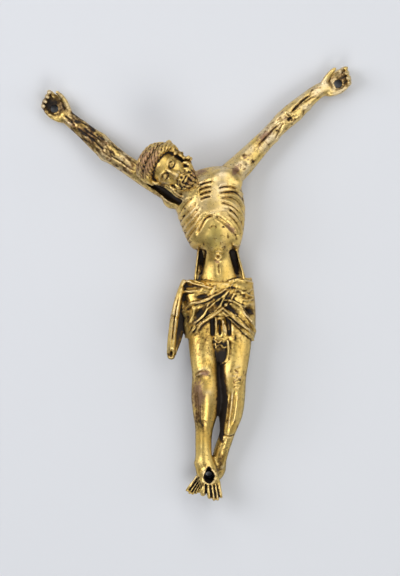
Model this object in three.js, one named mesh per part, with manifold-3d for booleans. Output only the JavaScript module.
// The figure of a small crucifix, cast in bronze as one piece and fire-gilt.
// It lies on its back as it does when it is off its cross: +Z is the front of the figure, +Y its
// head end, and +X its own left side, with the origin on the plane it lies on, under its middle.
// All sizes are millimetres.

import * as THREE from 'three';
import { mergeVertices } from 'three/addons/utils/BufferGeometryUtils.js';
import Module from 'manifold-3d';

// Driving sizes
const figureHeight = 240;      // from the toes to the tip of the higher hand
const handNailRadius = 2.1;    // the round hole through each palm
const footNailRadius = 3.1;    // the hole through both feet, at its narrowest
const footNailStretch = 1.25;  // how much longer than wide the torn hole in the feet is

// The forms below are drawn for a figure of this height, and follow figureHeight as shares of it.
const drawnHeight = 240;
const share = figureHeight / drawnHeight;

const kernel = await Module();
kernel.setup();

// Reads a table whose rows start with a position, with a smooth curve through its values.
function readTable(table, position) {
  const last = table.length - 1;
  const way = Math.sign(table[last][0] - table[0][0]);
  let row = 0;
  while (row < last - 1 && (table[row + 1][0] - position) * way < 0) row += 1;
  const before = table[Math.max(row - 1, 0)];
  const from = table[row];
  const to = table[row + 1];
  const after = table[Math.min(row + 2, last)];
  const span = to[0] - from[0];
  const t = THREE.MathUtils.clamp((position - from[0]) / span, 0, 1);
  return from.slice(1).map((value, k) => {
    const next = to[k + 1];
    const rise = (next - before[k + 1]) / (to[0] - before[0]) * span;
    const fall = (after[k + 1] - value) / (after[0] - from[0]) * span;
    const a = 2 * value - 2 * next + rise + fall;
    const b = -3 * value + 3 * next - 2 * rise - fall;
    return ((a * t + b) * t + rise) * t + value;
  });
}

function smoothStep(low, high, value) {
  return THREE.MathUtils.smoothstep(value, low, high);
}

// A closed skin: each vertex of a sphere's net is moved to place(turn, along), both from 0 to 1.
function skin(around, lengthwise, place) {
  const net = new THREE.SphereGeometry(1, around, lengthwise);
  const position = net.attributes.position;
  for (let i = 0; i < position.count; i += 1) {
    const row = Math.floor(i / (around + 1));
    const column = (i % (around + 1)) % around;
    const point = place(column / around, row / lengthwise);
    position.setXYZ(i, point.x, point.y, point.z);
  }
  return net;
}

// A round or oval bar along a path, with round ends. Each row of its girths is [place along, half
// width, half depth], and depth runs in the direction of front as nearly as the path lets it.
// The section can swell or sink with the angle round it, where 90 degrees faces front.
function bar(path, girths, around, lengthwise, front = [0, 0, 1], swell = () => 1) {
  const curve = new THREE.CatmullRomCurve3(path.map((p) => new THREE.Vector3(...p)), false, 'centripetal');
  const facing = new THREE.Vector3(...front);
  return skin(around, lengthwise, (turn, row) => {
    const along = row < 1 ? THREE.MathUtils.clamp((row * lengthwise - 0.6) / (lengthwise - 1.2), 0, 1) : 1;
    const tangent = curve.getTangentAt(along);
    const depth = facing.clone().addScaledVector(tangent, -tangent.dot(facing)).normalize();
    const width = tangent.clone().cross(depth);
    const [halfWidth, halfDepth] = readTable(girths, along);
    const end = row === 0 || row === 1 ? 0 : 1;
    const angle = turn * 2 * Math.PI;
    const reach = swell(angle, along) * end;
    const point = curve.getPointAt(along)
      .addScaledVector(width, Math.cos(angle) * halfWidth * reach)
      .addScaledVector(depth, Math.sin(angle) * halfDepth * reach);
    const cap = (row === 0 ? -0.5 : 0.5) * Math.min(halfWidth, halfDepth);
    return end ? point : point.addScaledVector(tangent, cap);
  });
}

function ball(centre, radii, around = 10, lengthwise = 6) {
  const form = new THREE.SphereGeometry(1, around, lengthwise);
  form.scale(...radii);
  form.translate(...centre);
  return form;
}

// A point on an oval girth: angle 0 faces front and grows towards the figure's left side.
function girthPoint(middle, halfWidth, front, back, angle, squareness) {
  const centre = back + (front - back) * 0.45;
  const sine = Math.sin(angle);
  const cosine = Math.cos(angle);
  const reach = cosine > 0 ? front - centre : centre - back;
  return new THREE.Vector2(
    middle + halfWidth * Math.sign(sine) * Math.abs(sine) ** squareness,
    centre + reach * Math.sign(cosine) * Math.abs(cosine) ** squareness,
  );
}

// Turns a column's place from 0 to 1 into an angle round a girth, with more columns at the front.
function frontedAngle(turn) {
  const t = turn * 2 - 1;
  return Math.PI * t * (0.62 + 0.38 * t * t);
}

// Trunk: rows of [height, middle, half width, front, back].
const trunkRows = [
  [64.6, 9.4, 4, 17, 8],
  [61.4, 8.8, 11, 21.5, 3.5],
  [56.0, 7.6, 16.6, 25.6, 1],
  [49.0, 7.2, 18.6, 27, -0.4],
  [41.8, 8.0, 19.0, 27.2, -0.4],
  [35.2, 8.8, 18.0, 26.6, 0.4],
  [27.0, 9.9, 16.0, 25, 2.4],
  [21.5, 10.6, 13.9, 22.6, 3.2],
  [18.6, 12.2, 11.5, 15, 3.6],
  [12.0, 12.6, 11.8, 13.5, 3.4],
  [4.0, 13.2, 13.6, 14.5, 3],
  [-8.0, 12.4, 16.5, 20, 2],
  [-22.0, 12.5, 14, 19, 4],
];
const ribs = { count: 9, top: 56, pitch: 3.3, depth: 1.25, sideFall: 8, middleFall: 3.2 };
const ribArch = { x: 8.8, top: 39, slope: 1.02, depth: 2.2 };

// The rows of the trunk's net: the height at its middle, how far the row falls at the sides, and
// how deep it is cut. Each rib takes a groove and a crest, so the rows run along the ribs.
function trunkLevels() {
  const levels = [[64.6, 0, 0], [62.6, 1.5, 0], [59.4, 5, 0]];
  for (let rib = 0; rib < ribs.count; rib += 1) {
    const height = ribs.top - rib * ribs.pitch;
    const fall = ribs.sideFall + ribs.middleFall * Math.sin(Math.PI * rib / (ribs.count - 1));
    levels.push([height, fall, -ribs.depth], [height - ribs.pitch / 2, fall, 0]);
  }
  levels.push([25.6, 5.4, 0], [22.4, 3.4, 0], [18.6, 0, 0], [12, 0, 0], [3, 0, 0], [-22, 0, 0]);
  return levels;
}

// The rib arch: how far a place lies inside the upside-down V below which the belly sinks in.
function insideArch(x, height, angle) {
  const line = ribArch.top - Math.abs(x - ribArch.x) * ribArch.slope;
  const below = 1 - smoothStep(line - 1.6, line, height);
  const within = 1 - smoothStep(10, 13, Math.abs(x - ribArch.x));
  return Math.abs(angle) < Math.PI / 2 ? below * within : 0;
}

function trunk() {
  const levels = trunkLevels();
  return skin(26, levels.length - 1, (turn, along) => {
    const [levelHeight, fall, cut] = levels[Math.round(along * (levels.length - 1))];
    const angle = frontedAngle(turn);
    const aside = Math.abs(angle);
    const height = levelHeight - fall * Math.min(1, aside / (Math.PI / 2)) ** 1.9;
    const [middle, halfWidth, front, back] = readTable(trunkRows, height);
    if (along === 0 || along === 1) return new THREE.Vector3(middle, height, (front + back) / 2);
    const point = girthPoint(middle, halfWidth, front, back, angle, 0.88);
    const ribFade = smoothStep(0.08, 0.3, aside) * (1 - smoothStep(1.9, 2.4, aside));
    const inside = insideArch(point.x, height, angle);
    const relief = cut * ribFade * (1 - inside) - ribArch.depth * inside * smoothStep(19, 22, height);
    return new THREE.Vector3(point.x + Math.sin(angle) * relief, height, point.y + Math.cos(angle) * relief);
  });
}

function shouldersAndNeck() {
  return [
    bar([[-14, 46.5, 11], [-5, 51.5, 13], [8, 56.4, 14], [18, 59.6, 13], [25, 65.5, 12]],
      [[0, 5.5, 5.5], [0.3, 8.2, 8.4], [0.6, 8.0, 8.8], [0.8, 6.8, 7.4], [1, 6.0, 5.6]], 8, 7),
    bar([[9, 54, 13], [2, 56, 17], [-8, 59.0, 22], [-15, 63, 26]],
      [[0, 7, 6], [0.4, 5.2, 5.4], [1, 5.2, 5.2]], 8, 4),
    ball([15.8, 56.6, 21], [9.4, 7.2, 6.0], 12, 7),
    ball([-2.5, 52, 20.5], [8.6, 7.2, 5.8], 9, 5),
  ];
}

function bellyAndFlanks() {
  const flank = (side) => bar([
    [side * 10.2 + 11.8, 20, 9],
    [side * 11.2 + 12.2, 14, 12],
    [side * 12.4 + 12.7, 8, 14.2],
    [side * 13.8 + 13.2, 1, 16],
  ], [[0, 1, 3], [1, 1, 2.4]], 5, 4);
  return [
    bar([[9.4, 33, 15], [11, 24, 15.4], [12, 15, 12.6], [12.4, 7, 11.8], [12.2, -4, 12.5]],
      [[0, 4, 5], [0.25, 8.6, 8.2], [0.45, 7.2, 7.4], [0.65, 8.2, 7.4], [1, 10.6, 8]], 10, 8),
    flank(-1),
    flank(1),
  ];
}

// Arms: from the shoulder to the wrist in one bar, with a long hollow between the wasted muscles.
function arm(path) {
  const hollow = (angle, along) => {
    const facing = Math.cos(angle - Math.PI / 2);
    const firm = smoothStep(0.42, 0.5, along) * (1 - smoothStep(0.5, 0.6, along));
    return facing > 0.99 ? 0.8 + 0.2 * firm : 1;
  };
  return bar(path, [[0, 7.2, 5.6], [0.12, 6.9, 5.6], [0.3, 5.8, 5.2], [0.46, 5.1, 4.8], [0.56, 5.2, 4.9],
    [0.68, 5.6, 5.2], [0.84, 4.5, 4.2], [1, 3.8, 3.2]], 8, 14, [0, 0, 1], hollow);
}

// Hands: the palm is a shallow cup round its nail hole, and the fingers curl up from its rim.
// Local places are out along the forearm, aside towards the thumb, and up to the front.
const fingers = [
  { aside: 5.2, reach: 7.9, curl: 0.4 },
  { aside: 2.6, reach: 7.3, curl: 0.8 },
  { aside: -0.2, reach: 6.6, curl: 0.8 },
  { aside: -2.9, reach: 5.6, curl: 0.6 },
];

function hand({ at: palm, heading, thumbSide, thumbReach }) {
  const out = new THREE.Vector2(Math.cos(heading), Math.sin(heading));
  const at = (reach, aside, up) => [
    palm[0] + out.x * reach - out.y * aside * thumbSide,
    palm[1] + out.y * reach + out.x * aside * thumbSide,
    up,
  ];
  const forms = [
    bar([at(-8, 0.2, 3.8), at(-2, 0.4, 2.1), at(3, 0.8, 2.1), at(6, 1.2, 3.4)],
      [[0, 3.4, 2.8], [0.3, 5.2, 3.1], [0.6, 5.6, 3.0], [1, 4.4, 2.4]], 8, 5),
    bar([at(-9, 3.0, 5), at(-4.4, 5.6, 6.2), at(0.6, 7.6, 7.4), at(thumbReach, 7.9, 8.6)],
      [[0, 1.7, 1.9], [0.4, 1.7, 2.1], [0.75, 1.3, 1.5], [1, 0.8, 0.9]], 5, 4),
    bar([at(-7, -2.4, 4.6), at(-1.5, -4.2, 5.2), at(3.0, -4.0, 5.4)],
      [[0, 1.8, 2], [0.5, 1.5, 2.2], [1, 1.2, 1.6]], 5, 3),
  ];
  fingers.forEach(({ aside, reach, curl }) => {
    const path = [
      at(2, aside * 0.85, 3.4),
      at(reach - 1.8, aside, 4.6),
      at(reach, aside, 7.4),
      at(reach - curl, aside * 0.94, 10.6),
    ];
    const girths = [[0, 1.5, 1.8], [0.4, 1.5, 1.6], [0.75, 1.3, 1.3], [1, 0.85, 0.85]];
    forms.push(bar(path, girths, 5, 4, [out.x, out.y, 0.2]));
  });
  return forms;
}

// Legs: thigh, knee, calf and ankle in one bar, with the shin's edge in front and a knee cap.
function leg(path, girths, knee, heel) {
  const shinEdge = (angle, along) => {
    const shin = smoothStep(0.42, 0.5, along) * (1 - smoothStep(0.86, 0.95, along));
    return 1 + 0.13 * Math.max(0, Math.sin(angle)) ** 8 * shin;
  };
  return [
    bar(path, girths, 8, 15, [0, 0, 1], shinEdge),
    ball(knee, [4.6, 4.8, 3.6], 7, 4),
    ball(heel, [4.4, 5.4, 5.4], 7, 4),
  ];
}

function legs() {
  return [
    ...leg(
      [[4.6, -14, 13], [3.5, -30, 15.5], [4.4, -42, 17.6], [4.7, -50, 18.6], [4.9, -62, 16.2],
        [4.4, -74, 14.4], [4.0, -86, 14], [4.3, -96, 14], [5.2, -103, 14.4]],
      [[0, 9.4, 9.6], [0.18, 7.9, 8.4], [0.32, 7.5, 7.9], [0.4, 7.0, 7.4], [0.5, 7.5, 7.8], [0.56, 7.4, 7.6],
        [0.66, 6.3, 6.4], [0.75, 4.9, 5.2], [0.9, 4.6, 4.8], [0.95, 5.6, 5.2], [1, 5.2, 4.6]],
      [4.9, -49.5, 23.6], [4.4, -99, 11.4]),
    ...leg(
      [[22.0, -14, 12], [22.2, -32, 14], [20.8, -44, 15.6], [20.1, -51, 16.2], [19.8, -63, 13],
        [18.9, -73, 11.2], [17.0, -83, 10.4], [14.3, -91, 9.4], [12.0, -100, 8.4]],
      [[0, 9.2, 9.4], [0.2, 8.3, 8.2], [0.34, 8.0, 7.7], [0.42, 7.6, 7.2], [0.54, 7.3, 7.4], [0.67, 6.6, 6.4],
        [0.79, 4.3, 5.0], [0.88, 4.2, 4.6], [1, 4.0, 4.4]],
      [21.2, -51.0, 20.8], [11.4, -101.2, 4.8]),
  ];
}

// Feet: an instep wedge with five toes. Roots and tips are [x, y, z], with the toe's half thickness.
function foot(instep, instepGirths, toes) {
  const forms = [bar(instep, instepGirths, 8, 5)];
  toes.forEach(([root, tip, thickness]) => {
    const bend = root.map((value, k) => value + (tip[k] - value) * 0.6);
    bend[2] += 1.0;
    const girths = [[0, 1.1, 1.3], [0.5, 1, 1.1], [0.85, 1, 1], [1, 0.7, 0.7]];
    const thick = girths.map(([along, width, depth]) => [along, width * thickness, depth * thickness]);
    forms.push(bar([root, bend, tip], thick, 5, 3));
  });
  return forms;
}

function feet() {
  return [
    ...foot([[4.4, -97, 12.6], [6.2, -104, 14.4], [7.4, -109, 15.4], [8.0, -113.2, 15.6]],
      [[0, 4.8, 4.6], [0.35, 5.9, 5.2], [0.7, 6.0, 3.9], [1, 5.2, 2.4]],
      [
        [[4.2, -110, 15.8], [3.7, -115.8, 16.4], 1.55],
        [[6.4, -111, 16.2], [7.2, -118.2, 17.4], 1.35],
        [[8.6, -111.4, 16.2], [9.8, -119.0, 17.2], 1.25],
        [[10.8, -111, 15.8], [12.0, -118.9, 16.6], 1.15],
        [[12.4, -110, 15], [13.7, -117.6, 15.8], 1.0],
      ]),
    ...foot([[12.6, -98, 6.6], [10.6, -103.4, 4.4], [5.4, -107.0, 5.2], [1.2, -109.4, 8.0]],
      [[0, 4.4, 4.8], [0.35, 5.2, 5.8], [0.7, 4.6, 4.4], [1, 3.6, 2.8]],
      [
        [[2.2, -106.4, 9.4], [-5.3, -113.6, 9.8], 1.2],
        [[1.8, -108, 9.6], [-4.1, -115.0, 10.4], 1.15],
        [[1.8, -109.4, 9.8], [-2.4, -115.6, 10.6], 1.1],
        [[2.4, -110.6, 9.6], [-0.4, -115.4, 10.2], 1.1],
        [[3.4, -111.2, 9.2], [1.6, -114.8, 9.6], 1.05],
      ]),
  ];
}

// Loincloth: a wrapped shell, rows of [height, middle, half width, front, back].
const clothRows = [
  [2.6, 11.8, 19.0, 19.5, 0.6],
  [0, 11.7, 19.8, 22, -0.2],
  [-8, 11.8, 20.6, 24, -0.6],
  [-17, 12.3, 20.6, 25, -0.6],
  [-25, 12.9, 19.8, 25, 0],
  [-34, 13.3, 18.6, 24, 1],
];

// The hem hangs lowest over the thighs and rises to a point between them.
function hemHeight(angle) {
  const aside = Math.abs(angle);
  return -17.5 - 12.5 * smoothStep(0.12, 1.05, aside) + 2.5 * smoothStep(1.6, 2.6, aside);
}

function clothPoint(angle, height, lift) {
  const [middle, halfWidth, front, back] = readTable(clothRows, height);
  const point = girthPoint(middle, halfWidth + lift, front + lift, back - Math.max(lift, 0), angle, 0.8);
  return [point.x, height, point.y];
}

function clothShell() {
  const top = clothRows[0][0];
  return skin(26, 9, (turn, along) => {
    const angle = frontedAngle(turn);
    const middle = readTable(clothRows, top)[0];
    const row = Math.round(along * 9);
    if (row === 0) return new THREE.Vector3(middle, top - 3, 11);
    if (row === 9) return new THREE.Vector3(middle, -14, 11);
    const down = THREE.MathUtils.clamp((row - 2) / 5, 0, 1);
    const waist = top + 1.1 * Math.sin(angle);
    const height = waist + (hemHeight(angle) - waist) * down;
    if (row === 1) return new THREE.Vector3(...clothPoint(angle, height - 0.8, -3));
    if (row === 8) return new THREE.Vector3(...clothPoint(angle, height + 1.2, -3));
    return new THREE.Vector3(...clothPoint(angle, height, 0));
  });
}

// A rolled fold that follows the shell, from points of [angle in degrees, height], with its half
// width, how proud it stands at the middle and its number of steps.
function fold(points, halfWidth, proud, lengthwise) {
  const path = points.map(([angle, height]) => clothPoint(THREE.MathUtils.degToRad(angle), height, -0.3));
  const middleAngle = THREE.MathUtils.degToRad(points[Math.floor(points.length / 2)][0]);
  return bar(path, [[0, halfWidth * 0.6, proud * 0.4], [0.2, halfWidth, proud], [0.8, halfWidth, proud],
    [1, halfWidth * 0.6, proud * 0.4]], 5, lengthwise, [Math.sin(middleAngle), 0, Math.cos(middleAngle)]);
}

const folds = [
  [[[-62, -29.5], [-34, -21], [-6, -12], [14, -3.5], [24, 1.5]], 1.4, 2.2, 9],
  [[[-50, -30], [-26, -22.5], [0, -15.5], [20, -7], [30, 0]], 1.3, 2.0, 9],
  [[[10, -14], [30, -21], [50, -27], [78, -31]], 1.4, 2.2, 7],
  [[[18, -9.5], [40, -16], [62, -23], [92, -28]], 1.3, 2.0, 7],
  [[[-82, -16], [-50, -13], [-24, -9.5], [-2, -6.5]], 1.2, 2.0, 7],
  [[[-80, -5], [-50, -4.5], [-28, -3]], 1.1, 1.7, 5],
  [[[-78, 1.5], [-50, 1], [-26, -0.6], [0, -2.6]], 1.0, 1.6, 6],
  [[[26, -3], [50, -6], [80, -7]], 1.1, 1.8, 5],
  [[[26, 2], [56, 1.5], [88, 0]], 1.1, 1.8, 5],
  [[[92, 2.5], [90, -12], [96, -27]], 1.3, 1.0, 6],
];

function clothEnds() {
  return [
    bar([[-6.8, 1, 15], [-9.8, -9, 19.5], [-11.8, -19, 20.5], [-13.2, -30, 19], [-13.7, -40, 17.5]],
      [[0, 1.4, 3], [0.3, 2.0, 3.2], [0.7, 2.2, 2.6], [0.95, 2.4, 2.4], [1, 2.0, 2.0]], 7, 8),
    bar([[-6.6, -6, 13], [-9.6, -18, 14], [-11.4, -30, 13.6], [-12.8, -40, 13]],
      [[0, 3.5, 1.6], [0.4, 4.6, 1.5], [0.75, 3.4, 1.3], [1, 1.2, 1.0]], 6, 6),
    bar([[12.2, -15, 21], [12.8, -26, 19.5], [13.4, -36, 17], [13.0, -43.6, 15]],
      [[0, 3.4, 2.2], [0.4, 3.9, 1.8], [0.8, 3.4, 1.5], [1, 1.2, 1.2]], 6, 6),
    bar([[10.6, -17, 22.2], [11.0, -24, 21.8], [10.4, -30, 20]],
      [[0, 1.0, 1.5], [0.6, 1.0, 1.5], [1, 0.6, 0.8]], 5, 4),
    bar([[17.4, -20, 21], [18.4, -30, 19.5], [18.4, -39, 17.6], [14.6, -44, 15.6]],
      [[0, 0.9, 1.6], [0.5, 0.9, 1.4], [1, 0.8, 1.0]], 5, 6),
  ];
}

// Head: built upright about its own middle, x to its left, y to the crown and z the way it faces.
const headPlace = { middle: [-15.6, 63.6, 26.4], crown: [-0.855, 0.46, 0.2], turn: -0.1 };

function skullAndFace() {
  const forms = [
    ball([0, 2.2, -1.2], [9.6, 11.4, 11.8], 10, 7),
    ball([0, 4.6, -3], [12.2, 11, 10], 12, 7),
    ball([0, -4.6, 2.4], [7.6, 10.2, 8.8], 10, 6),
    bar([[0, 3.2, 9.6], [0, -0.6, 12.2], [0, -4.6, 13.8]],
      [[0, 1.2, 1.4], [0.5, 1.2, 1.6], [1, 2.1, 1.6]], 6, 4),
    bar([[-7.2, 1.6, 7.4], [-4, 3.4, 10], [0, 2.6, 10.6], [4, 3.4, 10], [7.2, 1.6, 7.4]],
      [[0, 0.8, 0.8], [0.3, 1.1, 1.3], [0.7, 1.1, 1.3], [1, 0.8, 0.8]], 5, 6),
    bar([[-2.6, -9, 10.2], [0, -8.8, 11.2], [2.6, -9, 10.2]],
      [[0, 0.8, 1], [0.5, 1.4, 1.2], [1, 0.8, 1]], 5, 3),
  ];
  [-1, 1].forEach((side) => {
    forms.push(ball([side * 3.7, 0.2, 8.6], [2.2, 1.5, 1.8], 6, 4));
    forms.push(bar([[side * 0.6, -6.6, 12], [side * 3, -7.6, 11], [side * 5.2, -10.8, 8.4]],
      [[0, 0.8, 0.8], [0.5, 1.2, 1.2], [1, 0.7, 0.7]], 5, 3));
  });
  return forms;
}

// The beard falls from the jaw in short locks.
function beard() {
  const lockCount = 5;
  return Array.from({ length: lockCount }, (_, lock) => {
    const aside = (lock / (lockCount - 1)) * 2 - 1;
    const front = 1 - aside * aside;
    const reach = 12.8 + 4.4 * front;
    return bar(
      [[aside * 7.4, -5 - 5 * front, 6.4 + 3.2 * front], [aside * 6.4, -reach * 0.8, 7.2 + 2.6 * front],
        [aside * 3.8, -reach, 6.4 + 1.2 * front]],
      [[0, 2.1, 1.7], [0.5, 2.3, 2], [1, 1, 1]], 5, 3);
  });
}

// Hair: parted in the middle, rolled back from the face in strands, and falling behind.
function hair() {
  const forms = [];
  for (let strand = 0; strand < 2; strand += 1) {
    const back = strand * 4;
    [-1, 1].forEach((side) => {
      const thick = side < 0 ? 3 : 2.2;
      const close = side < 0 ? 1 : 0.78;
      forms.push(bar(
        [[side * 0.4, 12.8 + strand * 0.8, 6.2 - back], [side * 6.4, 11.2, 6 - back],
          [side * 10.2, 5.6, 4.2 - back], [side * 10.6 * (close + 1) / 2, -1.5, 1.8 - back * 0.8],
          [side * 9.2 * close, -8.5, 0.6 - back * 0.6]],
        [[0, 1.4, 1.6], [0.2, thick, thick], [0.6, thick, thick], [1, 1.4, 1.4]], 5, 7));
    });
  }
  const fallCount = 3;
  for (let lock = 0; lock < fallCount; lock += 1) {
    const aside = (lock / (fallCount - 1)) * 2 - 1;
    const round = aside * aside;
    const path = [
      [aside * 6, 7, -8],
      [aside * 7.4, -2, -9.4 + round * 3.4],
      [aside * 5.6 - 1.2, -11, -6.4 + round * 2],
    ];
    forms.push(bar(path, [[0, 2, 2], [0.3, 4.2, 2.6], [0.8, 3.8, 2.4], [1, 1.6, 1.4]], 6, 4));
  }
  forms.push(bar([[-9.8, -4, 3], [-8.6, -9, 4.6], [-5.2, -14.5, 3.4], [-3.2, -19, -1]],
    [[0, 1, 1], [0.4, 1.6, 1.5], [1, 0.9, 0.9]], 5, 5));
  return forms;
}

function head() {
  const crown = new THREE.Vector3(...headPlace.crown).normalize();
  const faces = new THREE.Vector3(0, 0, 1).addScaledVector(crown, -crown.z).normalize();
  faces.applyAxisAngle(crown, headPlace.turn);
  const side = crown.clone().cross(faces);
  const frame = new THREE.Matrix4().makeBasis(side, crown, faces).setPosition(...headPlace.middle);
  return [...skullAndFace(), ...beard(), ...hair()].map((form) => form.applyMatrix4(frame));
}

// Turns a closed geometry into a solid at its real size, with its faces outwards.
function toSolid(geometry, scale = share) {
  const bare = geometry.clone();
  bare.deleteAttribute('normal');
  bare.deleteAttribute('uv');
  bare.scale(scale, scale, scale);
  const merged = mergeVertices(bare, 1e-3);
  const corners = new Uint32Array(merged.index.array);
  const make = () => new kernel.Manifold(new kernel.Mesh({
    numProp: 3,
    vertProperties: merged.attributes.position.array,
    triVerts: corners,
  }));
  const solid = make();
  if (solid.volume() > 0) return solid;
  for (let i = 0; i < corners.length; i += 3) {
    [corners[i + 1], corners[i + 2]] = [corners[i + 2], corners[i + 1]];
  }
  return make();
}

// A drill along the front-to-back direction, that widens at the mouth where the nail went in.
function nailDrill([x, y], radius, stretch, mouthHeight) {
  const flare = 0.7;
  const taper = 3;
  const clear = 2;
  const facets = 14;
  const mouth = mouthHeight * share;
  const top = figureHeight / 4;
  const profile = [
    [0, -clear],
    [radius, -clear],
    [radius, mouth - taper],
    [radius + flare, mouth],
    [radius + flare, top],
    [0, top],
  ];
  const drill = new THREE.LatheGeometry(profile.map(([r, z]) => new THREE.Vector2(r, z)), facets);
  drill.rotateX(Math.PI / 2);
  drill.scale(1, stretch, 1);
  drill.translate(x * share, y * share, 0);
  return toSolid(drill, 1);
}

// What dips below the plane that the figure was filed flat on.
function filing() {
  const thickness = figureHeight / 12;
  const slab = new THREE.BoxGeometry(figureHeight * 2, figureHeight * 2, thickness);
  slab.translate(0, 0, -thickness / 2);
  return toSolid(slab, 1);
}

// The casting is solid metal: any hollow shut in between two forms is filled.
function filled(solid) {
  return solid.decompose().reduce((largest, shell) => (shell.volume() > largest.volume() ? shell : largest));
}

const rightArm = [
  [-5, 45.6, 11],
  [-12, 50.6, 10.5],
  [-28, 59.3, 9],
  [-45.4, 70.9, 8],
  [-57.4, 80.9, 6.8],
  [-68.6, 90.1, 5.4],
  [-72.8, 93.6, 4.6],
];
const leftArm = [
  [17, 58, 11],
  [24, 64.6, 10.8],
  [33.9, 74.9, 9.4],
  [44.4, 86, 8],
  [55.6, 96.4, 6.8],
  [67.3, 106.3, 5.4],
  [72.5, 108.9, 4.6],
];
const rightPalm = { at: [-78.3, 96.8], heading: Math.atan2(8.2, -9.6), thumbSide: -1, thumbReach: 4.6 };
const leftPalm = { at: [78.5, 110.6], heading: Math.atan2(6.2, 10.2), thumbSide: 1, thumbReach: 2.6 };
const footNail = { at: [7.2, -105.6], mouth: 18 };
const handMouth = 8;

const forms = [
  trunk(),
  ...shouldersAndNeck(),
  ...bellyAndFlanks(),
  arm(rightArm),
  arm(leftArm),
  ...hand(rightPalm),
  ...hand(leftPalm),
  ...legs(),
  ...feet(),
  clothShell(),
  ...folds.map((entry) => fold(...entry)),
  ...clothEnds(),
  ...head(),
];

const figure = filled(kernel.Manifold.union(forms.map((form) => toSolid(form))))
  .subtract(filing())
  .subtract(nailDrill(rightPalm.at, handNailRadius, 1, handMouth))
  .subtract(nailDrill(leftPalm.at, handNailRadius, 1, handMouth))
  .subtract(nailDrill(footNail.at, footNailRadius, footNailStretch, footNail.mouth));

const mesh = figure.getMesh();
const corpusGeometry = new THREE.BufferGeometry();
corpusGeometry.setAttribute('position', new THREE.BufferAttribute(new Float32Array(mesh.vertProperties), 3));
corpusGeometry.setIndex(new THREE.BufferAttribute(new Uint32Array(mesh.triVerts), 1));
corpusGeometry.computeBoundingBox();
const middle = corpusGeometry.boundingBox.getCenter(new THREE.Vector3());
corpusGeometry.translate(-middle.x, -middle.y, 0);

const gilding = new THREE.MeshStandardMaterial({ color: 0xc8a24a, roughness: 0.34, metalness: 1 });
const corpus = new THREE.Mesh(corpusGeometry, gilding);
corpus.name = 'corpus';

const crucifixFigure = new THREE.Group();
crucifixFigure.add(corpus);

export default crucifixFigure;
